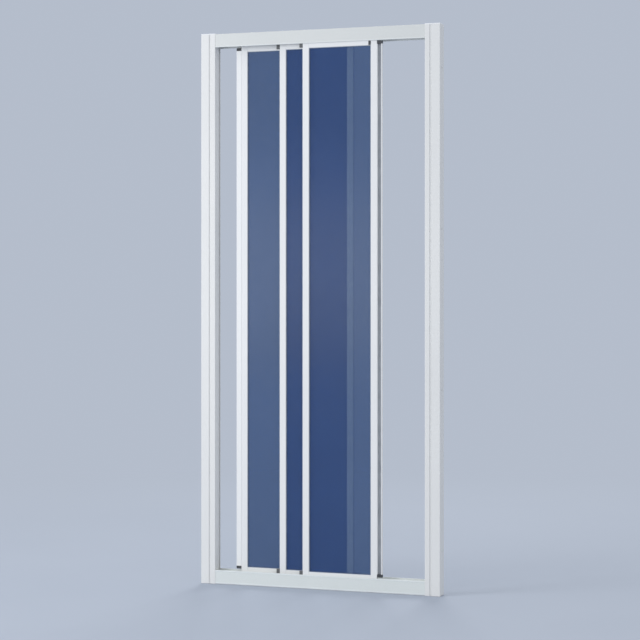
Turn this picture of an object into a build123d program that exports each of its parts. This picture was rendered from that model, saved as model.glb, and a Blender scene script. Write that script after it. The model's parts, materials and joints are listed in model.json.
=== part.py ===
from build123d import *
import os

# Three-panel sliding shower door for a niche. X runs along the door, the front faces -Y,
# Z is up, and the origin is the middle of the footprint on the tray. Millimetres.

# Outer frame
door_width = 880.0
door_height = 1950.0
jamb_depth = 50.0
rail_depth = 48.0
rail_height = 47.0
rail_setback = 2.0

# Wall profiles
wall_leg = 30.0
wall_web = 2.0
wall_skin = 1.6
wall_hole_radius = 3.0
wall_hole_end = 150.0
wall_hole_count = 4

# Side posts
post_reach = 54.0
post_tail = 14.0
post_groove = 7.0
post_skin = 1.6
telescope_gap = 0.3
strip_channel_depth = 11.0
strip_channel_play = 1.0
jamb_edge_radius = 1.5

# Rail extrusions
lane_pitch = 15.0
rail_skin = 1.6
rail_roof = 1.8
partition_skin = 1.4
bead_height = 5.0
bead_out = 0.8
bead_radius = 0.7
port_radius = 1.7
port_skin = 1.3
weep_length = 14.0
weep_height = 3.0
weep_count = 5

# Running tracks in the top rail
ledge_skin = 2.0
ledge_reach = 1.0
track_bead_width = 2.4
track_bead_height = 1.6
track_offset = 2.4

# Guide channels in the bottom rail
channel_depth = 22.0
partition_drop = 4.0

# Panels
panel_width = 272.0
panel_thickness = 11.0
stile_width = 23.0
profile_height = 26.0
frame_skin = 1.3
pocket_depth = 9.0
pocket_gap = 0.1
frame_edge_radius = 1.2
pane_edge_chamfer = 0.9
slot_width = 3.2
rear_panel_left = -300.0
middle_panel_left = -149.0
front_panel_left = -58.0
panel_rest_left = {1: rear_panel_left, 2: middle_panel_left, 3: front_panel_left}
lane_of_panel = {1: 1, 2: 0, 3: -1}

# Panes and their gasket
pane_thickness = 4.0
pane_grip = 8.0
gasket_side = 1.0
gasket_lip = 1.2

# Rollers, axles and hangers
roller_radius = 8.0
roller_flange = 1.0
roller_width = 6.2
roller_floor = 3.0
roller_rim = 1.2
roller_dish = 0.8
roller_dish_inner = 4.4
roller_dish_outer = 6.6
roller_end_play = 0.1
roller_roof_gap = 1.5
running_gap = 0.3
journal_radius = 2.5
journal_play = 0.05
shoulder_radius = 3.6
rivet_radius = 2.0
rivet_play = 0.02
axle_head = 0.7
hanger_skin = 2.0
hanger_inset = 0.3
hanger_from_edge = 42.0
hanger_foot_length = 36.0
hanger_plate_length = 26.0
hanger_eye_radius = 7.0
hanger_rise = 13.0
hanger_screw_spread = 21.0
hanger_screw_offset = 1.2

# Guide shoes
shoe_length = 32.0
shoe_play = 0.5
shoe_height = 5.5
shoe_lift = 0.5
shoe_screw_gap = 1.0
shoe_plug_height = 11.0
shoe_end_radius = 3.0

# Catches, seals and handle strips
catch_length = 13.0
catch_thickness = 10.0
catch_show = 13.0
catch_radius = 2.5
catch_travel_gap = 2.0
slot_play = 0.2
tee_skin = 1.2
tee_width = 5.2
edge_seal_out = 1.8
edge_seal_width = 6.0
edge_seal_end_gap = 0.3
closing_seal_width = 9.0
closing_seal_out = 2.5
strip_width = 18.5
strip_skin = 1.4
strip_lip = 3.0
strip_top_gap = 2.0
strip_bottom_gap = 4.0
strip_cap = 10.0
strip_edge_radius = 1.2
strip_landing_gap = 0.3

# Stop block on the front panel's top profile
stop_panel = 3
stop_width = 8.0
stop_out = 1.6
stop_lip_gap = 1.0
stop_edge_radius = 0.8
stop_peg_radius = 1.4
stop_peg_length = 2.2
stop_peg_play = 0.05

# Fasteners
screw_shank_radius = 1.65
screw_head_radius = 3.4
screw_head_height = 2.2
screw_hole_play = 0.15
head_hole_play = 0.3
corner_screw_bite = 14.0
rail_screw_bite = 18.0
hanger_screw_length = 7.0
adjuster_head_radius = 3.6
adjuster_length = 10.0
adjuster_end = 300.0
adjuster_count = 3
driver_hole_radius = 4.0

# Caps and sealing strip
cap_skin = 3.0
cap_plug = 10.0
cap_plug_gap = 0.4
groove_width = 6.0
groove_depth = 0.8
groove_count = 4

# Levels and faces that follow from the sizes above
half_width = door_width / 2
half_jamb = jamb_depth / 2
half_rail = rail_depth / 2
half_panel = panel_thickness / 2
post_face = half_width - post_reach
jamb_top = door_height - cap_skin
rail_top = door_height - rail_setback
rail_lip = rail_top - rail_height
roof_under = rail_top - rail_roof
roller_z = roof_under - roller_roof_gap - roller_radius - roller_flange
track_top = roller_z - roller_radius - running_gap
ledge_top = track_top - track_bead_height
ledge_under = ledge_top - ledge_skin
rail_port_z = ledge_under - port_radius - port_skin / 2
sill_bottom = rail_setback
sill_top = sill_bottom + rail_height
channel_floor = sill_top - channel_depth
sill_port_z = sill_bottom + channel_depth / 2
panel_top = ledge_under - hanger_rise
panel_bottom = channel_floor + shoe_height + shoe_lift
pane_low = panel_bottom + profile_height - pane_grip
pane_high = panel_top - profile_height + pane_grip
partition_y = lane_pitch / 2
half_channel = partition_y - partition_skin / 2
strip_low = sill_top + strip_bottom_gap
strip_high = rail_lip - strip_top_gap
half_pocket = pane_thickness / 2 + gasket_side + pocket_gap
tail_depth = half_jamb - wall_skin - telescope_gap
chamber_end = stile_width - pocket_depth - frame_skin
profile_web = profile_height - pocket_depth
screw_level = pocket_depth + profile_web / 2
stop_peg_level = (pocket_depth + screw_level + frame_skin / 2) / 2


def box(x0, y0, z0, x1, y1, z1):
    """Box between two corners."""
    size = Box(abs(x1 - x0), abs(y1 - y0), abs(z1 - z0))
    return Pos((x0 + x1) / 2, (y0 + y1) / 2, (z0 + z1) / 2) * size


def bar(a0, b0, a1, b1):
    """Rectangle between two corners of a section."""
    return Pos((a0 + a1) / 2, (b0 + b1) / 2) * Rectangle(abs(a1 - a0), abs(b1 - b0))


def soften(section, radius, keep):
    """Round the corners of a section that keep() picks by their position."""
    picked = [v for v in section.vertices() if keep(v.X, v.Y)]
    return fillet(picked, radius)


def along_x(section, x0, x1):
    """Extrude a Y-Z section from x0 to x1."""
    return extrude(Plane.YZ.offset(x0) * section, x1 - x0)


def along_z(section, z0, z1):
    """Extrude an X-Y section from z0 to z1."""
    return extrude(Plane.XY.offset(z0) * section, z1 - z0)


def rod_x(radius, x0, x1, y, z):
    """Round bar along X."""
    return Pos((x0 + x1) / 2, y, z) * Rot(0, 90, 0) * Cylinder(radius, abs(x1 - x0))


def rod_y(radius, y0, y1, x, z):
    """Round bar along Y."""
    return Pos(x, (y0 + y1) / 2, z) * Rot(90, 0, 0) * Cylinder(radius, abs(y1 - y0))


def rod_z(radius, z0, z1, x, y):
    """Round bar along Z."""
    return Pos(x, y, (z0 + z1) / 2) * Cylinder(radius, abs(z1 - z0))


def spread(first, last, count):
    """Evenly spaced places from first to last."""
    step = (last - first) / (count - 1)
    return [first + step * i for i in range(count)]


def pan_screw(length):
    """Pan-head screw pointing along +Z, with the underside of its head at the origin."""
    head = rod_z(screw_head_radius, -screw_head_height, 0, 0, 0)
    head = chamfer(head.edges().group_by(Axis.Z)[0], screw_head_height / 3)
    return head + rod_z(screw_shank_radius, -screw_head_height / 2, length, 0, 0)


def wall_hole_levels():
    return spread(wall_hole_end, door_height - wall_hole_end, wall_hole_count)


def adjuster_levels():
    return spread(adjuster_end, door_height - adjuster_end, adjuster_count)


def adjuster_x():
    """Middle of the overlap between the wall profile's leg and the post's tail."""
    return half_width - wall_leg + post_tail / 2


def adjuster_cone(play):
    """Countersunk head in the rear leg, on the right jamb."""
    depth = wall_skin
    cone = Cone(screw_shank_radius + play, adjuster_head_radius + play, depth)
    return Pos(adjuster_x(), half_jamb - depth / 2, 0) * Rot(-90, 0, 0) * cone


def wall_profile(side):
    """U-shaped wall profile that is screwed to the side wall."""
    outline = bar(half_width - wall_leg, -half_jamb, half_width, half_jamb)
    outline = soften(outline, jamb_edge_radius, lambda x, y: x > half_width - 1)
    inside = half_jamb - wall_skin
    mouth = bar(half_width - wall_leg - 1, -inside, half_width - wall_web, inside)
    profile = along_z(outline - mouth, 0, jamb_top)
    for z in wall_hole_levels():
        profile -= rod_x(wall_hole_radius, half_width - wall_web - 1, half_width + 1, 0, z)
    for z in adjuster_levels():
        profile -= Pos(0, 0, z) * adjuster_cone(screw_hole_play)
    return profile if side > 0 else mirror(profile, Plane.YZ)


def post_section():
    """Right-hand side post: a hollow tail in the wall profile and a channel that the
    front panel's handle strip closes into."""
    lane = -lane_pitch
    shoulder = half_width - wall_leg - post_groove
    tail_end = half_width - wall_leg + post_tail
    outline = bar(post_face, -half_jamb, shoulder, half_jamb)
    outline = soften(outline, jamb_edge_radius, lambda x, y: x < post_face + 1)
    outline += bar(shoulder, -tail_depth, tail_end, tail_depth)

    half_mouth = half_panel + strip_channel_play
    channel = bar(post_face - 1, lane - half_mouth, post_face + strip_channel_depth,
                  lane + half_mouth)
    channel_wall = bar(post_face, -half_jamb, post_face + strip_channel_depth + post_skin,
                       lane + half_mouth + post_skin)
    head_room = bar(post_face + post_skin, -half_jamb + post_skin,
                    shoulder - post_skin, half_jamb - post_skin)
    tail_room = bar(shoulder - post_skin - 1, -tail_depth + post_skin,
                    tail_end - post_skin, tail_depth - post_skin)
    return outline - (head_room - channel_wall) - tail_room - channel


def rail_screw_places(side):
    """Y and Z of the screws that fix the two rails to the post on one side."""
    lanes = (-1, 0) if side < 0 else (0, 1)
    return [(lane * lane_pitch + track_offset, z)
            for lane in lanes for z in (rail_port_z, sill_port_z)]


def side_post(side):
    """Post that telescopes in the wall profile and carries the ends of both rails."""
    section = post_section()
    section = section if side > 0 else Rot(0, 0, 180) * section
    post = along_z(section, 0, jamb_top)
    tail_end = half_width - wall_leg + post_tail
    for y, z in rail_screw_places(side):
        post -= rod_x(screw_shank_radius + screw_hole_play, side * (post_face - 1),
                      side * (post_face + post_skin + 1), y, z)
        post -= rod_x(driver_hole_radius, side * (tail_end - post_skin - 1),
                      side * (tail_end + 1), y, z)
    for z in adjuster_levels():
        post -= rod_y(screw_shank_radius + screw_hole_play, tail_depth - post_skin - 1,
                      tail_depth + 1, side * adjuster_x(), z)
    return post


def rail_screws():
    """Eight screws, driven from inside the posts into the screw ports of the rails."""
    screws = []
    for side in (-1, 1):
        for y, z in rail_screw_places(side):
            screw = Rot(0, -90 * side, 0) * pan_screw(rail_screw_bite + post_skin)
            screws.append(Pos(side * (post_face + post_skin), y, z) * screw)
    return Compound(children=screws)


def adjuster_screws():
    """Countersunk screws that lock each post in its wall profile, on the inner side."""
    screws = []
    for side in (-1, 1):
        for z in adjuster_levels():
            shank = rod_y(screw_shank_radius, half_jamb - adjuster_length,
                          half_jamb - wall_skin / 2, adjuster_x(), 0)
            screw = Pos(0, 0, z) * (adjuster_cone(0) + shank)
            screws.append(screw if side > 0 else mirror(screw, Plane.YZ))
    return Compound(children=screws)


def jamb_caps():
    """Moulded caps that close the tops of the two jambs."""
    plate = bar(post_face, -half_jamb, half_width, half_jamb)
    plate = soften(plate, jamb_edge_radius, lambda x, y: True)
    tail_end = half_width - wall_leg + post_tail
    inset = post_skin + cap_plug_gap
    plug = bar(half_width - wall_leg - post_groove, -tail_depth + inset,
               tail_end - inset, tail_depth - inset)
    cap = along_z(plate, jamb_top, door_height)
    cap += along_z(plug - offset(plug, -post_skin), jamb_top - cap_plug, jamb_top)
    return Compound(children=[cap, mirror(cap, Plane.YZ)])


def closing_seal(side):
    """Soft seal on the floor of a post's channel, where the handle strip lands."""
    floor = post_face + strip_channel_depth
    half = closing_seal_width / 2
    section = bar(floor - closing_seal_out, -half, floor, half)
    section = soften(section, closing_seal_out * 0.8, lambda x, y: x < floor - 1)
    seal = along_z(Pos(0, -lane_pitch) * section, sill_top, rail_lip)
    return seal if side > 0 else Rot(0, 0, 180) * seal


def face_bead(z0, z1):
    """Bead that stands out of the front skirt of a rail between two levels."""
    bead = bar(-half_rail - bead_out, z0, -half_rail + rail_skin, z1)
    return soften(bead, bead_radius, lambda y, z: y < -half_rail)


def screw_port(y, z):
    """Round screw port of a rail section, as a disc and its hole."""
    disc = Pos(y, z) * Circle(port_radius + port_skin)
    hole = Pos(y, z) * Circle(port_radius)
    return disc, hole


def both_faces(shape):
    """A section piece and its mirror image on the back of the rail."""
    return shape + mirror(shape, Plane.YZ)


def top_rail():
    """Three-track header: skirts, roof, two partitions, and one ledge with a running
    bead per lane. Each ledge leaves room beside it for the hangers of its lane."""
    skirt = bar(-half_rail, rail_lip, -half_rail + rail_skin, rail_top)
    section = bar(-half_rail, roof_under, half_rail, rail_top) + both_faces(skirt)
    section = soften(section, bead_radius, lambda y, z: z > rail_top - 1)
    section += both_faces(face_bead(rail_lip, rail_lip + bead_height))
    for y in (-partition_y, partition_y):
        section += bar(y - partition_skin / 2, ledge_under, y + partition_skin / 2, rail_top - 1)
    holes = []
    for lane in (-1, 0, 1):
        y = lane * lane_pitch
        far = half_rail - rail_skin / 2 if lane == 1 else y + partition_y
        section += bar(y - ledge_reach, ledge_under, far, ledge_top)
        bead_y = y + track_offset
        bead = bar(bead_y - track_bead_width / 2, ledge_top - 0.5,
                   bead_y + track_bead_width / 2, track_top)
        section += soften(bead, track_bead_width / 3, lambda y, z: z > ledge_top)
        disc, hole = screw_port(bead_y, rail_port_z)
        section += disc
        holes.append(hole)
    for hole in holes:
        section -= hole
    return along_x(section, -post_face, post_face)


def bottom_rail():
    """Sill with three guide channels above a drained chamber."""
    skirt = bar(-half_rail, sill_bottom, -half_rail + rail_skin, sill_top)
    section = both_faces(skirt)
    section += bar(-half_rail, sill_bottom, half_rail, sill_bottom + rail_skin)
    section += bar(-half_rail, channel_floor - rail_skin, half_rail, channel_floor)
    section += both_faces(face_bead(sill_top - bead_height, sill_top))
    section += both_faces(face_bead(sill_bottom, sill_bottom + bead_height))
    for y in (-partition_y, partition_y):
        section += bar(y - partition_skin / 2, channel_floor - 1, y + partition_skin / 2,
                       sill_top - partition_drop)
    holes = []
    for lane in (-1, 0, 1):
        y = lane * lane_pitch + track_offset
        disc, hole = screw_port(y, sill_port_z)
        stem = bar(y - port_skin / 2, sill_port_z + port_radius + port_skin / 2,
                   y + port_skin / 2, channel_floor - rail_skin / 2)
        section += disc + stem
        holes.append(hole)
    for hole in holes:
        section -= hole
    rail = along_x(section, -post_face, post_face)
    reach = post_face - 2 * weep_length
    for x in spread(-reach, reach, weep_count):
        rail -= box(x - weep_length / 2, -half_channel, channel_floor,
                    x + weep_length / 2, half_rail + 1, channel_floor + weep_height)
    return rail


def sill_strip():
    """Grooved rubber strip between the bottom rail and the tray."""
    section = bar(-half_rail, 0, half_rail, sill_bottom)
    reach = half_rail - groove_width
    for y in spread(-reach, reach, groove_count):
        section -= bar(y - groove_width / 2, 0, y + groove_width / 2, groove_depth)
    return along_x(section, -post_face, post_face)


def frame_section():
    """Stile section: its outer edge on x = 0 and its pane pocket towards +x."""
    outline = bar(0, -half_panel, stile_width, half_panel)
    outline = soften(outline, frame_edge_radius, lambda x, y: x < 1)
    inner = [v for v in outline.vertices() if v.X > stile_width - 1]
    outline = chamfer(inner, pane_edge_chamfer)
    chamber = bar(frame_skin, -half_panel + frame_skin, chamber_end, half_panel - frame_skin)
    pocket = bar(stile_width - pocket_depth, -half_pocket, stile_width + 1, half_pocket)
    slot = bar(-1, -slot_width / 2, frame_skin + 1, slot_width / 2)
    return outline - chamber - pocket - slot


def profile_section():
    """Top profile section in Y-Z: its pane pocket opens down at z = 0."""
    outline = bar(-half_panel, 0, half_panel, profile_height)
    lower = [v for v in outline.vertices() if v.Y < 1]
    outline = chamfer(lower, pane_edge_chamfer)
    pocket = bar(-half_pocket, -1, half_pocket, pocket_depth)
    room = bar(-half_panel + frame_skin, pocket_depth + frame_skin,
               half_panel - frame_skin, profile_height - frame_skin)
    disc, hole = screw_port(0, screw_level)
    web = bar(-half_panel, screw_level - frame_skin / 2, half_panel,
              screw_level + frame_skin / 2)
    return outline - pocket - (room - disc - web) - hole


def panel_y(panel):
    return lane_of_panel[panel] * lane_pitch


def panel_left(panel):
    return panel_rest_left[panel]


def at_edge(panel, side, shape):
    """Put a shape made for a left edge, at x = 0 and pointing into the panel, on the
    left or right edge of a panel."""
    left = panel_left(panel)
    if side < 0:
        return Pos(left, panel_y(panel), 0) * shape
    return Pos(left + panel_width, panel_y(panel), 0) * Rot(0, 0, 180) * shape


def stile(panel, side):
    """Upright of a panel, with clearance holes for its two corner screws."""
    upright = along_z(frame_section(), panel_bottom, panel_top)
    for z in corner_screw_levels():
        upright -= rod_x(screw_shank_radius + screw_hole_play, chamber_end - 1,
                         chamber_end + frame_skin + 1, 0, z)
        upright -= rod_x(screw_head_radius + head_hole_play, -1, frame_skin + 1, 0, z)
    return at_edge(panel, side, upright)


def corner_screw_levels():
    level = profile_height - screw_level
    return (panel_bottom + level, panel_top - level)


def cross_profile(panel, upper):
    """Top or bottom profile of a panel, between its stiles."""
    section = Pos(panel_y(panel), panel_top - profile_height) * profile_section()
    if not upper:
        flipped = mirror(profile_section(), Plane.XZ)
        section = Pos(panel_y(panel), panel_bottom + profile_height) * flipped
    left = panel_left(panel)
    profile = along_x(section, left + stile_width, left + panel_width - stile_width)
    if upper:
        for x, y in hanger_screw_places(panel):
            profile -= rod_z(screw_shank_radius + screw_hole_play,
                             panel_top - frame_skin - 1, panel_top + 1, x, y)
    if upper and panel == stop_panel:
        profile -= stop_peg(panel, stop_peg_play)
    return profile


def pane_box(panel, grow, half):
    """Box of a panel's pane, grown in its plane, with half its thickness."""
    left = panel_left(panel) + stile_width - pane_grip
    right = panel_left(panel) + panel_width - stile_width + pane_grip
    y = panel_y(panel)
    return box(left - grow, y - half, pane_low - grow, right + grow, y + half, pane_high + grow)


def pane(panel):
    """Toughened pane, held in the pockets of the four profiles."""
    return pane_box(panel, 0, pane_thickness / 2)


def glazing_gasket(panel):
    """U-shaped gasket round the edge of a pane."""
    half = pane_thickness / 2
    rim = pocket_depth - pane_grip - pocket_gap
    ring = pane_box(panel, rim, half + gasket_side)
    ring -= pane_box(panel, -pane_grip - gasket_lip, half + 2 * gasket_side)
    return ring - pane(panel)


def hanger_middles(panel):
    left = panel_left(panel)
    return (left + hanger_from_edge, left + panel_width - hanger_from_edge)


def hanger_screw_places(panel):
    half = hanger_screw_spread / 2
    y = panel_y(panel) + hanger_screw_offset
    return [(x + step, y) for x in hanger_middles(panel) for step in (-half, half)]


def panel_screws(panel):
    """Four corner screws and four hanger screws of one panel."""
    screws = []
    for z in corner_screw_levels():
        length = frame_skin + pocket_depth + corner_screw_bite
        screw = Pos(chamber_end, 0, z) * Rot(0, 90, 0) * pan_screw(length)
        screws += [at_edge(panel, side, screw) for side in (-1, 1)]
    for x, y in hanger_screw_places(panel):
        screws.append(Pos(x, y, panel_top + hanger_skin) * Rot(180, 0, 0)
                      * pan_screw(hanger_screw_length))
    return Compound(children=screws)


def hanger_plate_y():
    """Front and back face of the upright hanger plate, from the lane's middle."""
    front = -half_panel + hanger_inset
    return front, front + hanger_skin


def hangers(panel):
    """Two angle brackets on the top profile, one for each roller."""
    y = panel_y(panel)
    front, back = hanger_plate_y()
    rise = roller_z - panel_top
    foot_half = hanger_foot_length / 2
    plate_half = hanger_plate_length / 2
    eye = hanger_eye_radius
    face = Polygon((-plate_half, 0), (plate_half, 0), (eye, rise), (-eye, rise), align=None)
    face += Pos(0, rise) * Circle(eye)
    plate = extrude(Plane.XZ.offset(-back) * face, hanger_skin)
    foot = box(-foot_half, front, 0, foot_half, -front, hanger_skin)
    bracket = foot + plate - rod_y(rivet_radius + rivet_play, front - 1, back + 1, 0, rise)
    for step in (-1, 1):
        bracket -= rod_z(screw_shank_radius + screw_hole_play, -1, hanger_skin + 1,
                         step * hanger_screw_spread / 2, hanger_screw_offset)
    return Compound(children=[Pos(x, y, panel_top) * bracket for x in hanger_middles(panel)])


def roller_faces():
    """Front and back face of a roller, from the lane's middle."""
    return track_offset - roller_width / 2, track_offset + roller_width / 2


def axle_pins(panel):
    """Riveted axle of each roller: rivet end, shoulder, journal and head."""
    front, back = hanger_plate_y()
    near, far = roller_faces()
    pin = rod_y(rivet_radius, front, back, 0, 0)
    pin += rod_y(shoulder_radius, back, near - roller_end_play, 0, 0)
    pin += rod_y(journal_radius, back, far + roller_end_play, 0, 0)
    pin += rod_y(shoulder_radius, far + roller_end_play, far + roller_end_play + axle_head, 0, 0)
    y = panel_y(panel)
    return Compound(children=[Pos(x, y, roller_z) * pin for x in hanger_middles(panel)])


def roller(panel, side):
    """Grooved nylon roller that runs on its track bead."""
    half = roller_width / 2
    rim = roller_radius + roller_flange
    floor = roller_floor / 2
    edge = half - roller_rim / 2
    bore = journal_radius + journal_play
    dish = half - roller_dish
    outline = Polyline(
        (bore, -half), (roller_dish_inner, -half), (roller_dish_inner, -dish),
        (roller_dish_outer, -dish), (roller_dish_outer, -half), (rim, -half), (rim, -edge),
        (roller_radius, -floor), (roller_radius, floor), (rim, edge), (rim, half),
        (roller_dish_outer, half), (roller_dish_outer, dish), (roller_dish_inner, dish),
        (roller_dish_inner, half), (bore, half), close=True)
    wheel = revolve(make_face(outline), Axis.Y)
    x = hanger_middles(panel)[0 if side < 0 else 1]
    return Pos(x, panel_y(panel) + track_offset, roller_z) * wheel


def guide_shoes(panel):
    """Two shoes that plug into the stiles' open ends and run in the bottom channel."""
    half = half_channel - shoe_play
    base = bar(0, -half, shoe_length, half)
    base = soften(base, shoe_end_radius, lambda x, y: True)
    shoe = along_z(base, panel_bottom - shoe_height, panel_bottom)
    inset = frame_skin + slot_play
    plug_half = half_panel - inset
    plug_end = chamber_end - screw_head_height - shoe_screw_gap
    shoe += box(inset, -plug_half, panel_bottom, plug_end, plug_half,
                panel_bottom + shoe_plug_height)
    return Compound(children=[at_edge(panel, side, shoe) for side in (-1, 1)])


def tee_root():
    """T-shaped root that holds a strip or a catch in a stile's outer slot."""
    neck_half = slot_width / 2 - slot_play
    depth = frame_skin + slot_play
    neck = bar(0, -neck_half, depth, neck_half)
    return neck + bar(depth, -tee_width / 2, depth + tee_skin, tee_width / 2)


def catch_levels():
    """Bottom and top of the lower and of the upper catch."""
    return ((panel_bottom, sill_top + catch_show), (rail_lip - catch_show, panel_top))


def catches(panel, sides):
    """Moulded catch blocks at the ends of a panel's free stiles."""
    half = catch_thickness / 2
    section = bar(-catch_length, -half, 0, half)
    section = soften(section, catch_radius, lambda x, y: x < -1)
    blocks = []
    for side in sides:
        for low, high in catch_levels():
            root_low = max(low, panel_bottom + shoe_plug_height + slot_play)
            block = along_z(section, low, high) + along_z(tee_root(), root_low, high)
            blocks.append(at_edge(panel, side, block))
    return Compound(children=blocks)


def stop_middle(panel):
    """Middle of the stop block along X, beside the right stile."""
    return panel_left(panel) + panel_width - stile_width - stop_width / 2


def stop_peg(panel, play):
    """Peg that is pressed through the front wall of the top profile."""
    front = panel_y(panel) - half_panel
    level = panel_top - profile_height + stop_peg_level
    return rod_y(stop_peg_radius + play, front - stop_out / 2, front + stop_peg_length,
                 stop_middle(panel), level)


def stop_block(panel):
    """Moulded stop on the face of a top profile, between the pane and the rail's lip."""
    x = stop_middle(panel)
    front = panel_y(panel) - half_panel
    block = box(x - stop_width / 2, front - stop_out,
                panel_top - profile_height + pane_edge_chamfer,
                x + stop_width / 2, front, rail_lip - stop_lip_gap)
    block = fillet(block.edges().filter_by(Axis.Z).group_by(Axis.Y)[0], stop_edge_radius)
    return block + stop_peg(panel, 0)


def edge_seals(panel, sides):
    """Soft bulb in the outer slot of a panel's free stiles, between the catches."""
    half = edge_seal_width / 2
    section = bar(-edge_seal_out, -half, 0, half)
    section = soften(section, edge_seal_out * 0.8, lambda x, y: x < -1)
    low = catch_levels()[0][1] + edge_seal_end_gap
    high = catch_levels()[1][0] - edge_seal_end_gap
    seal = along_z(section + tee_root(), low, high)
    return Compound(children=[at_edge(panel, side, seal) for side in sides])


def strip_section():
    """Handle strip for a left edge: outward is -x, flat to the front, with the finger
    hollow open to the back."""
    outline = bar(-strip_width, -half_panel, 0, half_panel)
    outline = soften(outline, strip_edge_radius, lambda x, y: x < -1)
    hollow = bar(-strip_width + strip_skin, -half_panel + strip_skin, -strip_skin,
                 half_panel - strip_skin)
    mouth = bar(-strip_width + strip_lip, 0, -strip_skin, half_panel + 1)
    return outline - hollow - mouth


def handle_strip(panel, side):
    """Full-height pull on the outer edge of an outer panel."""
    section = strip_section() + tee_root()
    body = along_z(section, strip_low + strip_cap, strip_high - strip_cap)
    return at_edge(panel, side, body)


def handle_caps(panel, side):
    """Moulded end caps of a handle strip."""
    outline = bar(-strip_width, -half_panel, 0, half_panel)
    outline = soften(outline, strip_edge_radius, lambda x, y: x < -1)
    caps = [along_z(outline, strip_low, strip_low + strip_cap),
            along_z(outline, strip_high - strip_cap, strip_high)]
    return Compound(children=[at_edge(panel, side, cap) for cap in caps])


def frame_nodes():
    return {
        "wall_profile_left": wall_profile(-1),
        "wall_profile_right": wall_profile(1),
        "side_post_left": side_post(-1),
        "side_post_right": side_post(1),
        "top_rail": top_rail(),
        "bottom_rail": bottom_rail(),
        "sill_strip": sill_strip(),
        "jamb_caps": jamb_caps(),
        "closing_seal_left": closing_seal(-1),
        "closing_seal_right": closing_seal(1),
        "rail_screws": rail_screws(),
        "adjuster_screws": adjuster_screws(),
    }


def panel_nodes(panel):
    """Pieces of one panel. The outer panels have a handle strip on their outer edge and
    catches on the other one, and the middle panel has catches on both."""
    handle_side = {1: -1, 3: 1}.get(panel)
    free_sides = [side for side in (-1, 1) if side != handle_side]
    nodes = {
        "stile_left": stile(panel, -1),
        "stile_right": stile(panel, 1),
        "top_profile": cross_profile(panel, True),
        "bottom_profile": cross_profile(panel, False),
        "pane": pane(panel),
        "glazing_gasket": glazing_gasket(panel),
        "screws": panel_screws(panel),
        "hangers": hangers(panel),
        "axle_pins": axle_pins(panel),
        "roller_left": roller(panel, -1),
        "roller_right": roller(panel, 1),
        "guide_shoes": guide_shoes(panel),
        "catches": catches(panel, free_sides),
        "edge_seals": edge_seals(panel, free_sides),
    }
    if handle_side:
        nodes["handle_strip"] = handle_strip(panel, handle_side)
        nodes["handle_caps"] = handle_caps(panel, handle_side)
    if panel == stop_panel:
        nodes["stop"] = stop_block(panel)
    return {f"panel_{panel}_{name}": shape for name, shape in nodes.items()}


def travel_limits():
    """Slide limits of each panel from its parked place, in millimetres."""
    landed = post_face + strip_channel_depth - closing_seal_out - strip_landing_gap
    stopped = post_face - catch_travel_gap - catch_length
    reach = {1: (landed - strip_width, stopped), 2: (stopped, stopped),
             3: (stopped, landed - strip_width)}
    limits = {}
    for panel, (to_left, to_right) in reach.items():
        left = panel_left(panel)
        limits[panel] = (-to_left - left, to_right - panel_width - left)
    return limits


os.makedirs("parts", exist_ok=True)
all_nodes = frame_nodes()
for number in (1, 2, 3):
    all_nodes.update(panel_nodes(number))
for node, shape in all_nodes.items():
    export_step(shape, f"parts/{node}.step")
print(len(all_nodes), "nodes")
for number, (low, high) in travel_limits().items():
    print(f"panel {number} travels {low:.1f} to {high:.1f} mm")
print(f"roller axis at z {roller_z:.2f}, track offset {track_offset:.2f}")
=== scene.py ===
import json
import math
import bmesh
import bpy
from mathutils import Matrix, Vector


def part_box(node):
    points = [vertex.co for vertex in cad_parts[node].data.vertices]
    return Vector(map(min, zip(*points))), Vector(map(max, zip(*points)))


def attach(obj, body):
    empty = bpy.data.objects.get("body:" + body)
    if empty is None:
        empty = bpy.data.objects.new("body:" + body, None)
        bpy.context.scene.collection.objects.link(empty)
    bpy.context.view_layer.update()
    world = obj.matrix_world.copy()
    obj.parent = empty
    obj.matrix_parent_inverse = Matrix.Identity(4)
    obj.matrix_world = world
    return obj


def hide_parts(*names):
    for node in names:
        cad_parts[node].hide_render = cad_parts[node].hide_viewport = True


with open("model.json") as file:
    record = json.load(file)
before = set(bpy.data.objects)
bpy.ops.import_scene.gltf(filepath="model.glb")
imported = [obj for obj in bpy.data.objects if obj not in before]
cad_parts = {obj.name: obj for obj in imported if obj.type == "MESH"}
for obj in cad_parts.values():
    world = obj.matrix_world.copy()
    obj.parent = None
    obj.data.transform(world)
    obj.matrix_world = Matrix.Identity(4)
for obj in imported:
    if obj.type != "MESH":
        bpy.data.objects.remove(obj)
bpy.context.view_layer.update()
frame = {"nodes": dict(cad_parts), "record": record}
nodes = frame["nodes"]

# Camera, fitted to the frame corners of the photograph. Pixels are those of a 640 x 640
# picture, the sensor is in millimetres and the rest in metres.
PICTURE = 640.0
FOCAL_PIXELS = 1875.0
PRINCIPAL_X = 317.9
PRINCIPAL_Y = 286.1
SENSOR = 36.0
YAW = math.radians(19.49)
DISTANCE = 6.516
EYE_HEIGHT = 1.055
CLIP_NEAR = 0.05
CLIP_FAR = 200.0

# All colours below are linear
BACKGROUND = (0.46, 0.51, 0.60)
WORLD_TINT = (0.95, 0.97, 1.0)
WORLD_LIGHT = 0.70

# Floor, lengths in metres. It lies just under the door, so that no faces coincide.
FLOOR_RADIUS = 40.0
FLOOR_SEGMENTS = 96
FLOOR_DROP = 0.0005
FLOOR_FADE_START = 0.6
FLOOR_FADE_END = 4.2
FLOOR_DARK = (0.44, 0.49, 0.58)
FLOOR_ROUGHNESS = 0.85
FLOOR_SPECULAR = 0.2

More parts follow.
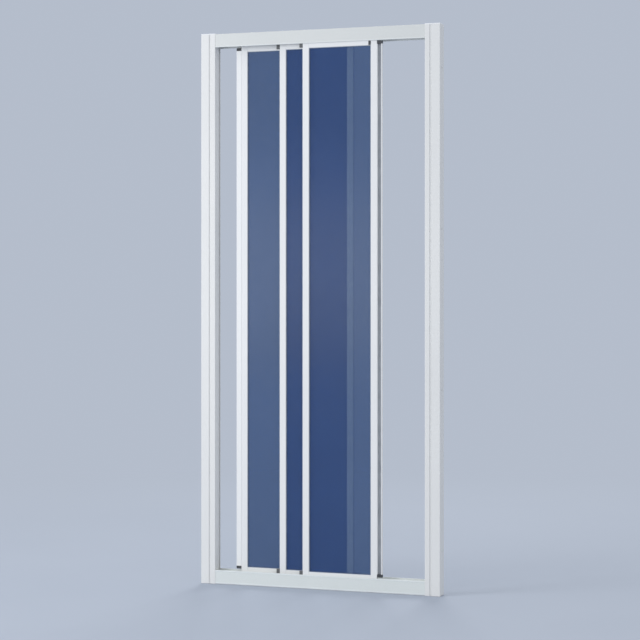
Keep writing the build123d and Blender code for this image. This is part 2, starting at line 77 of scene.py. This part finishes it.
# Softboxes: name, place, point aimed at, width and height in metres, power in watts
SOFTBOXES = (
    ("key", (-4.0, -3.8, 1.9), (0, 0, 1.0), (2.4, 3.0), 150),
    ("fill", (3.6, -2.6, 1.4), (0, 0, 0.9), (2.0, 3.0), 18),
    ("band", (-2.5, -7.0, 1.15), (0, 0, 1.0), (4.0, 1.1), 22),
    ("rear", (-1.5, 7.5, 4.5), (0, 0, 1.0), (3.5, 3.5), 220),
)

# Noise textures, as scale and levels of detail
COAT_DRIFT = (2.2, 3)
COAT_SPECKLE = (1400, 1)
COAT_SHEEN = (320, 3)
COAT_PEEL = (900, 2)
PANE_CLOUD = (1.6, 2)
PANE_SHEEN = (40, 3)
PANE_WAVE = (3.0, 1)
RUBBER_LINES = (60, 3)
RUBBER_BLOOM = (25, 4)
PLASTIC_CLOUD = (30, 3)
PLASTIC_SHEEN = (200, 2)
STEEL_LINES = (90, 4)
STEEL_CLOUD = (18, 2)
FLOOR_CLOUD = (0.8, 4)

# Spans of noise values that a ramp spreads out
NOISE_SPAN = (0.3, 0.7)
SPECKLE_SPAN = (0.35, 0.62)
BLOOM_SPAN = (0.35, 0.7)

# Stretch of the line textures along each axis
RUBBER_STRETCH = (30.0, 30.0, 0.6)
STEEL_STRETCH = (1.0, 25.0, 25.0)

# Relief, as depth in metres and strength
COAT_RELIEF = (0.00012, 0.5)
PANE_RELIEF = (0.002, 0.15)
RUBBER_RELIEF = (0.0003, 0.3)
PLASTIC_RELIEF = (0.0001, 0.4)
STEEL_RELIEF = (0.00005, 0.3)

# Roughness, from the smoothest to the roughest spot
COAT_ROUGHNESS = (0.30, 0.42)
PANE_ROUGHNESS = (0.14, 0.20)
RUBBER_ROUGHNESS = (0.48, 0.68)
STEEL_ROUGHNESS = (0.22, 0.38)
PLASTIC_ROUGHNESS_SPREAD = 0.06

# Tones of the one white powder coat, lighter or darker per part as painted light and shade:
# darker tone, lighter tone and, on the rails, the tone of their edge beads' painted highlight
COAT_TONES_LIT_AND_SHADED = {
    "jamb": ((0.75, 0.755, 0.75), (0.80, 0.80, 0.79)),
    "header": ((0.67, 0.69, 0.68), (0.71, 0.725, 0.71), (0.77, 0.80, 0.80)),
    "sill": ((0.70, 0.74, 0.73), (0.74, 0.775, 0.76), (0.80, 0.84, 0.85)),
    "panel": ((0.79, 0.80, 0.805), (0.84, 0.845, 0.845)),
    "strip": ((0.83, 0.84, 0.845), (0.88, 0.885, 0.885)),
}
SPECKLE_TONE = 0.94
EDGE_SOFTNESS = 0.0005
EDGE_SAMPLES = 4
COAT_SPECULAR = 0.5
CLEAR_COAT = 0.12
CLEAR_COAT_ROUGHNESS = 0.2

# Painted highlight bands on the beads along the header's lower edge and the sill's two edges,
# in metres up from the floor
BEAD_HIGHLIGHT_BANDS = ((1.901, 1.906), (0.044, 0.049), (0.002, 0.007))

# Panes: tones of the hazy layer, its share, the clear layer's tint and that of lamp light
PANE_TONES = ((0.028, 0.062, 0.185), (0.038, 0.080, 0.225))
PANE_HAZE = 0.55
PANE_TINT = (0.66, 0.74, 0.76)
LAMP_TINT = (0.96, 0.97, 0.98)

# Rubbers: darker and lighter tone
GASKET_RUBBER = ((0.30, 0.33, 0.37), (0.40, 0.43, 0.46))
SEAL_RUBBER = ((0.48, 0.50, 0.53), (0.60, 0.62, 0.64))
# The grips' grey stands in for painted shade in the handle strips' hollows
GRIP_SHADE_TONES = ((0.38, 0.40, 0.43), (0.46, 0.48, 0.51))

# Moulded plastics: darker tone, lighter tone and middle roughness
# Grey of the catches, its darkness partly their own and partly painted shadow beside the
# stiles
CATCH_SHADE_NYLON = ((0.085, 0.090, 0.095), (0.120, 0.125, 0.13), 0.5)
WHITE_NYLON = ((0.62, 0.61, 0.58), (0.70, 0.69, 0.66), 0.4)
DARK_NYLON = ((0.038, 0.041, 0.048), (0.060, 0.064, 0.072), 0.5)
CAP_GLOSS = ((0.80, 0.81, 0.83), (0.86, 0.87, 0.88), 0.3)
PLASTIC_GRAIN_SCALE = 1600

STEEL_TONES = ((0.52, 0.53, 0.55), (0.68, 0.69, 0.70))

# Grey rubber finger grips in the handle strips, whose grey is painted shade in the strips'
# hollows; sizes in metres
STRIP_SKIN = 0.0014
GRIP_THICKNESS = 0.0008
RIB_HEIGHT = 0.0006
RIB_COUNT = 6
POINTS_PER_RIB = 8

# The grips' panels, with the side of the strip's outer edge along X and of its mouth along Y
GRIPS = ((1, -1, 1), (3, 1, -1))

# Adjuster screws, in metres and degrees. The shank's two ends are shares of its radius.
SCREW_LENGTH = 0.010
HEAD_DEPTH = 0.0016
HEAD_RADIUS = 0.0036
HEAD_SEGMENTS = 40
SHANK_RADIUS = 0.00165
SHANK_TIP = 0.8
SHANK_NECK = 0.98
SHANK_SEGMENTS = 24
RECESS_LENGTH = 0.0042
RECESS_WIDTH = 0.0011
RECESS_DEPTH = 0.0013
SCREWS_PER_JAMB = 3
FIRST_TURN = 20
NEXT_TURN = 35


def add_camera():
    """The photograph's own view, with its off-centre principal point as a lens shift."""
    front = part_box("side_post_left")[0].y
    data = bpy.data.cameras.new("camera")
    camera = bpy.data.objects.new("camera", data)
    bpy.context.scene.collection.objects.link(camera)
    camera.location = (DISTANCE * math.sin(YAW), front - DISTANCE * math.cos(YAW), EYE_HEIGHT)
    camera.rotation_euler = (math.radians(90), 0, YAW)
    data.sensor_width = SENSOR
    data.lens = FOCAL_PIXELS / PICTURE * SENSOR
    data.shift_x = (PICTURE / 2 - PRINCIPAL_X) / PICTURE
    data.shift_y = (PRINCIPAL_Y - PICTURE / 2) / PICTURE
    data.clip_start = CLIP_NEAR
    data.clip_end = CLIP_FAR
    bpy.context.scene.camera = camera


class Shader:
    """A material's node tree, with short calls for the nodes used here."""

    def __init__(self, name):
        self.material = bpy.data.materials.new(name)
        self.material.use_nodes = True
        self.tree = self.material.node_tree
        self.surface = self.tree.nodes["Principled BSDF"]
        self.output = self.tree.nodes["Material Output"]
        self.place = self.node("ShaderNodeTexCoord").outputs["Object"]

    def node(self, kind, **settings):
        """A new node with its settings."""
        made = self.tree.nodes.new(kind)
        for key, value in settings.items():
            setattr(made, key, value)
        return made

    def link(self, source, target):
        """Join two sockets."""
        self.tree.links.new(source, target)

    def stretched(self, scale):
        """Object coordinates, stretched along each axis."""
        mapping = self.node("ShaderNodeMapping")
        self.link(self.place, mapping.inputs["Vector"])
        mapping.inputs["Scale"].default_value = scale
        return mapping.outputs["Vector"]

    def noise(self, texture, vector=None):
        """Noise of the texture's scale and detail, on object coordinates or the vector."""
        made = self.node("ShaderNodeTexNoise")
        made.inputs["Scale"].default_value, made.inputs["Detail"].default_value = texture
        self.link(vector or self.place, made.inputs["Vector"])
        return made.outputs["Fac"]

    def ramp(self, value, result=(0.0, 1.0), span=NOISE_SPAN):
        """The value, with its span mapped onto the result's."""
        made = self.node("ShaderNodeMapRange")
        self.link(value, made.inputs["Value"])
        names = ("From Min", "From Max", "To Min", "To Max")
        for name, number in zip(names, (*span, *result)):
            made.inputs[name].default_value = number
        return made.outputs["Result"]

    def blend(self, share, first, second):
        """Colour between two, which are colours or sockets."""
        made = self.node("ShaderNodeMix", data_type="RGBA")
        self.link(share, made.inputs["Factor"])
        for socket, colour in ((made.inputs[6], first), (made.inputs[7], second)):
            if isinstance(colour, tuple):
                socket.default_value = (*colour, 1)
            else:
                self.link(colour, socket)
        return made.outputs[2]

    def mix(self, share, first, second):
        """Shader between two. The share is a number or a socket."""
        made = self.node("ShaderNodeMixShader")
        if isinstance(share, float):
            made.inputs["Fac"].default_value = share
        else:
            self.link(share, made.inputs["Fac"])
        self.link(first, made.inputs[1])
        self.link(second, made.inputs[2])
        return made.outputs[0]

    def see_through(self, colour):
        """Transparent shader that tints what lies behind it."""
        made = self.node("ShaderNodeBsdfTransparent")
        made.inputs["Color"].default_value = (*colour, 1)
        return made.outputs[0]

    def height_band(self, bands):
        """1 where the height lies in one of the bands, and 0 elsewhere."""
        apart = self.node("ShaderNodeSeparateXYZ")
        self.link(self.place, apart.inputs[0])
        total = None
        for low, high in bands:
            near = self.node("ShaderNodeMath", operation="COMPARE")
            self.link(apart.outputs["Z"], near.inputs[0])
            near.inputs[1].default_value = (low + high) / 2
            near.inputs[2].default_value = (high - low) / 2
            if total:
                either = self.node("ShaderNodeMath", operation="MAXIMUM")
                self.link(total, either.inputs[0])
                self.link(near.outputs[0], either.inputs[1])
                near = either
            total = near.outputs[0]
        return total

    def bump(self, height, relief, below=None):
        """Normals of the relief's depth and strength, over the normals below."""
        made = self.node("ShaderNodeBump")
        made.inputs["Distance"].default_value, made.inputs["Strength"].default_value = relief
        self.link(height, made.inputs["Height"])
        if below:
            self.link(below, made.inputs["Normal"])
        return made.outputs["Normal"]

    def set(self, **sockets):
        """Numbers and links of the Principled node, by socket name with _ for spaces."""
        for name, value in sockets.items():
            socket = self.surface.inputs[name.replace("_", " ")]
            if isinstance(value, bpy.types.NodeSocket):
                self.link(value, socket)
            else:
                socket.default_value = value


def powder_coat(name, low, high, bead_highlight=None):
    """Satin white powder coat between two tones: softened edges, fine orange peel, faint
    speckle and a slow drift of tone. The bead tone is a painted highlight, lighter than the
    coat, on the rails' edge beads."""
    s = Shader(name)
    drift = s.ramp(s.noise(COAT_DRIFT))
    speckle = s.ramp(s.noise(COAT_SPECKLE), span=SPECKLE_SPAN)
    tone = s.blend(drift, low, high)
    if bead_highlight:
        # Painted highlight on the rails' edge beads
        tone = s.blend(s.height_band(BEAD_HIGHLIGHT_BANDS), tone, bead_highlight)
    grain = tuple(SPECKLE_TONE * part for part in low)
    edge = s.node("ShaderNodeBevel", samples=EDGE_SAMPLES)
    edge.inputs["Radius"].default_value = EDGE_SOFTNESS
    s.set(Base_Color=s.blend(speckle, grain, tone),
          Roughness=s.ramp(s.noise(COAT_SHEEN), COAT_ROUGHNESS),
          Normal=s.bump(s.noise(COAT_PEEL), COAT_RELIEF, edge.outputs["Normal"]))
    s.surface.inputs["Specular IOR Level"].default_value = COAT_SPECULAR
    s.surface.inputs["Coat Weight"].default_value = CLEAR_COAT
    s.surface.inputs["Coat Roughness"].default_value = CLEAR_COAT_ROUGHNESS
    return s.material


def tinted_pane():
    """Smoky blue pane: a tinted clear layer under a hazy glossy one, on each of its two
    faces. Lamps pass it, so that the frames behind it stay lit."""
    s = Shader("tinted_pane")
    cloud = s.ramp(s.noise(PANE_CLOUD))
    s.set(Base_Color=s.blend(cloud, *PANE_TONES),
          Roughness=s.ramp(s.noise(PANE_SHEEN), PANE_ROUGHNESS),
          Normal=s.bump(s.noise(PANE_WAVE), PANE_RELIEF))
    shown = s.mix(PANE_HAZE, s.see_through(PANE_TINT), s.surface.outputs[0])
    path = s.node("ShaderNodeLightPath")
    lamp_way = s.see_through(LAMP_TINT)
    for ray in ("Is Shadow Ray", "Is Diffuse Ray"):
        shown = s.mix(path.outputs[ray], shown, lamp_way)
    s.link(shown, s.output.inputs["Surface"])
    return s.material


def soft_rubber(name, dark, light):
    """Extruded soft rubber with fine lines along its length and a dusty bloom."""
    s = Shader(name)
    lines = s.noise(RUBBER_LINES, s.stretched(RUBBER_STRETCH))
    bloom = s.ramp(s.noise(RUBBER_BLOOM), span=BLOOM_SPAN)
    s.set(Base_Color=s.blend(bloom, dark, light),
          Roughness=s.ramp(lines, RUBBER_ROUGHNESS),
          Normal=s.bump(lines, RUBBER_RELIEF))
    return s.material


def moulded_plastic(name, dark, light, rough):
    """Moulded plastic with a fine spark-eroded grain."""
    s = Shader(name)
    grain = s.node("ShaderNodeTexVoronoi")
    grain.inputs["Scale"].default_value = PLASTIC_GRAIN_SCALE
    s.link(s.place, grain.inputs["Vector"])
    cloud = s.ramp(s.noise(PLASTIC_CLOUD))
    sheen = (rough - PLASTIC_ROUGHNESS_SPREAD, rough + PLASTIC_ROUGHNESS_SPREAD)
    s.set(Base_Color=s.blend(cloud, dark, light),
          Roughness=s.ramp(s.noise(PLASTIC_SHEEN), sheen),
          Normal=s.bump(grain.outputs["Distance"], PLASTIC_RELIEF))
    return s.material


def stainless():
    """Stamped stainless steel with fine rolling lines."""
    s = Shader("stainless")
    lines = s.noise(STEEL_LINES, s.stretched(STEEL_STRETCH))
    s.set(Base_Color=s.blend(s.noise(STEEL_CLOUD), *STEEL_TONES),
          Roughness=s.ramp(lines, STEEL_ROUGHNESS),
          Normal=s.bump(lines, STEEL_RELIEF), Metallic=1.0)
    return s.material


def coat_kind(node):
    """Which of the coat's lit and shaded copies a white node has: the parts' tones are painted
    light and shade.
    """
    if node.endswith("_handle_strip"):
        return "strip"
    if node.startswith("panel_"):
        return "panel"
    return {"top_rail": "header", "bottom_rail": "sill"}.get(node, "jamb")


def dress_nodes():
    """Give each CAD node the material of its slot. The steel one is handed on."""
    # The white parts get lighter and darker copies of one powder coat, as painted light and
    # shade
    coats = {kind: powder_coat(f"{kind}_coat", *tones) for kind, tones in COAT_TONES_LIT_AND_SHADED.items()}
    catch_shade_nylon = moulded_plastic("catch_shade_nylon", *CATCH_SHADE_NYLON)
    made = {
        "pane": tinted_pane(),
        "gasket": soft_rubber("gasket_rubber", *GASKET_RUBBER),
        "seal": soft_rubber("seal_rubber", *SEAL_RUBBER),
        "roller": moulded_plastic("white_nylon", *WHITE_NYLON),
        "dark_plastic": moulded_plastic("dark_nylon", *DARK_NYLON),
        "cap_plastic": moulded_plastic("cap_gloss", *CAP_GLOSS),
        "steel": stainless(),
    }
    for entry in frame["record"]["subparts"]:
        mesh = nodes[entry["node"]].data
        mesh.materials.clear()
        if entry["material_slot"] == "white_frame":
            material = coats[coat_kind(entry["node"])]
        # The catches' grey is partly painted shadow beside the stiles
        elif entry["node"].endswith("_catches"):
            material = catch_shade_nylon
        else:
            material = made[entry["material_slot"]]
        mesh.materials.append(material)
    return made["steel"]


def finish_mesh(name, shape, material):
    """Turn a bmesh into an object of the scene with one material."""
    mesh = bpy.data.meshes.new(name)
    bmesh.ops.recalc_face_normals(shape, faces=shape.faces)
    shape.to_mesh(mesh)
    shape.free()
    mesh.materials.append(material)
    made = bpy.data.objects.new(name, mesh)
    bpy.context.scene.collection.objects.link(made)
    return made


def add_finger_grip(panel, outward, open_to, rubber):
    """Ribbed soft liner on the floor of a handle strip's hollow, its grey a painted shade of
    the hollow. outward is the side of the strip's outer edge along X, and open_to the side of
    its mouth along Y."""
    low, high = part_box(f"panel_{panel}_handle_strip")
    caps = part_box(f"panel_{panel}_handle_caps")
    width = caps[1].x - caps[0].x
    outer = high.x if outward > 0 else low.x
    near = outer - outward * STRIP_SKIN
    far = outer - outward * (width - STRIP_SKIN)
    floor = (low.y if open_to > 0 else high.y) + open_to * STRIP_SKIN
    section = [(near, floor), (far, floor)]
    steps = RIB_COUNT * POINTS_PER_RIB
    for step in range(steps + 1):
        share = step / steps
        rise = RIB_HEIGHT * (0.5 - 0.5 * math.cos(2 * math.pi * RIB_COUNT * share))
        section.append((far + (near - far) * share, floor + open_to * (GRIP_THICKNESS + rise)))
    shape = bmesh.new()
    ends = [[shape.verts.new((x, y, z)) for x, y in section] for z in (low.z, high.z)]
    for i, (a, b) in enumerate(zip(*ends)):
        j = (i + 1) % len(section)
        shape.faces.new((a, ends[0][j], ends[1][j], b))
    for end in ends:
        shape.faces.new(end)
    grip = finish_mesh(f"panel_{panel}_finger_grip", shape, rubber)
    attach(grip, f"panel_{panel}")


def screw_mesh(steel):
    """Countersunk screw with a cross recess. Its head's face lies on z = 0, facing up."""
    body = bmesh.new()
    shank = SCREW_LENGTH - HEAD_DEPTH
    bmesh.ops.create_cone(body, cap_ends=True, segments=HEAD_SEGMENTS, radius1=SHANK_RADIUS,
                          radius2=HEAD_RADIUS, depth=HEAD_DEPTH,
                          matrix=Matrix.Translation((0, 0, -HEAD_DEPTH / 2)))
    bmesh.ops.create_cone(body, cap_ends=True, segments=SHANK_SEGMENTS,
                          radius1=SHANK_RADIUS * SHANK_TIP,
                          radius2=SHANK_RADIUS * SHANK_NECK, depth=shank,
                          matrix=Matrix.Translation((0, 0, -HEAD_DEPTH - shank / 2)))
    screw = finish_mesh("screw_body", body, steel)
    cross = bmesh.new()
    size = Matrix.Diagonal((RECESS_LENGTH, RECESS_WIDTH, 2 * RECESS_DEPTH, 1))
    for turn in (0, 90):
        bmesh.ops.create_cube(cross, size=1,
                              matrix=Matrix.Rotation(math.radians(turn), 4, "Z") @ size)
    cutter = finish_mesh("screw_recess", cross, steel)
    cut = screw.modifiers.new("recess", "BOOLEAN")
    cut.object = cutter
    cut.solver = "EXACT"
    cut.use_self = True
    ready = screw.evaluated_get(bpy.context.evaluated_depsgraph_get())
    mesh = bpy.data.meshes.new_from_object(ready)
    bpy.data.objects.remove(screw)
    bpy.data.objects.remove(cutter)
    return mesh


def add_adjuster_screws(steel):
    """The screws that lock the posts in the wall profiles, each turned to its own angle."""
    low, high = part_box("adjuster_screws")
    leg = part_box("wall_profile_right")[1].y
    step = (high.z - low.z - 2 * HEAD_RADIUS) / (SCREWS_PER_JAMB - 1)
    facing = Matrix.Rotation(math.radians(-90), 4, "X")
    mesh = screw_mesh(steel)
    shape = bmesh.new()
    for x in (low.x + HEAD_RADIUS, high.x - HEAD_RADIUS):
        for i in range(SCREWS_PER_JAMB):
            place = Matrix.Translation((x, leg, low.z + HEAD_RADIUS + step * i))
            turn = Matrix.Rotation(math.radians(FIRST_TURN + NEXT_TURN * i), 4, "Z")
            copy = mesh.copy()
            copy.transform(place @ facing @ turn)
            shape.from_mesh(copy)
            bpy.data.meshes.remove(copy)
    screws = finish_mesh("adjuster_screws_cross", shape, steel)
    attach(screws, "frame")
    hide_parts("adjuster_screws")


def add_floor():
    """Pale floor that keeps the shadow near the door and fades into the background."""
    mesh = bpy.data.meshes.new("floor")
    shape = bmesh.new()
    bmesh.ops.create_circle(shape, cap_ends=True, segments=FLOOR_SEGMENTS, radius=FLOOR_RADIUS)
    shape.to_mesh(mesh)
    shape.free()
    floor = bpy.data.objects.new("floor", mesh)
    bpy.context.scene.collection.objects.link(floor)
    floor.location.z = -FLOOR_DROP
    s = Shader("floor")
    cloud = s.ramp(s.noise(FLOOR_CLOUD))
    s.set(Base_Color=s.blend(cloud, FLOOR_DARK, BACKGROUND), Roughness=FLOOR_ROUGHNESS)
    s.surface.inputs["Specular IOR Level"].default_value = FLOOR_SPECULAR
    far = s.node("ShaderNodeVectorMath", operation="LENGTH")
    s.link(s.place, far.inputs[0])
    fade = s.node("ShaderNodeMapRange", interpolation_type="SMOOTHSTEP")
    s.link(far.outputs["Value"], fade.inputs["Value"])
    fade.inputs["From Min"].default_value = FLOOR_FADE_START
    fade.inputs["From Max"].default_value = FLOOR_FADE_END
    glow = s.node("ShaderNodeEmission")
    glow.inputs["Color"].default_value = (*BACKGROUND, 1)
    shown = s.mix(fade.outputs["Result"], s.surface.outputs[0], glow.outputs[0])
    s.link(shown, s.output.inputs["Surface"])
    mesh.materials.append(s.material)


def add_world():
    """Soft light from all around, with the plain background where the camera, a glossy
    face or a see-through one looks past the door."""
    world = bpy.data.worlds.new("world")
    bpy.context.scene.world = world
    world.use_nodes = True
    tree = world.node_tree
    tree.nodes.clear()
    path = tree.nodes.new("ShaderNodeLightPath")
    seen = path.outputs["Is Camera Ray"]
    for name in ("Is Glossy Ray", "Is Transmission Ray"):
        either = tree.nodes.new("ShaderNodeMath")
        either.operation = "MAXIMUM"
        tree.links.new(seen, either.inputs[0])
        tree.links.new(path.outputs[name], either.inputs[1])
        seen = either.outputs[0]
    light = tree.nodes.new("ShaderNodeBackground")
    light.inputs["Color"].default_value = (*WORLD_TINT, 1)
    light.inputs["Strength"].default_value = WORLD_LIGHT
    shown = tree.nodes.new("ShaderNodeBackground")
    shown.inputs["Color"].default_value = (*BACKGROUND, 1)
    mixed = tree.nodes.new("ShaderNodeMixShader")
    output = tree.nodes.new("ShaderNodeOutputWorld")
    tree.links.new(seen, mixed.inputs["Fac"])
    tree.links.new(light.outputs[0], mixed.inputs[1])
    tree.links.new(shown.outputs[0], mixed.inputs[2])
    tree.links.new(mixed.outputs[0], output.inputs["Surface"])


def add_softbox(name, place, target, size, power):
    """Rectangular area light that faces its target."""
    data = bpy.data.lights.new(name, "AREA")
    data.shape = "RECTANGLE"
    data.size, data.size_y = size
    data.energy = power
    lamp = bpy.data.objects.new(name, data)
    bpy.context.scene.collection.objects.link(lamp)
    lamp.location = place
    aim = Vector(target) - Vector(place)
    lamp.rotation_euler = aim.to_track_quat("-Z", "Y").to_euler()


add_camera()
steel = dress_nodes()
# Grey grips that paint the shade in the handle strips' hollows
grip_shade_rubber = soft_rubber("grip_shade_rubber", *GRIP_SHADE_TONES)
for panel, outward, open_to in GRIPS:
    add_finger_grip(panel, outward, open_to, grip_shade_rubber)
add_adjuster_screws(steel)
add_floor()
add_world()
for softbox in SOFTBOXES:
    add_softbox(*softbox)
bpy.context.scene.view_settings.view_transform = "Standard"
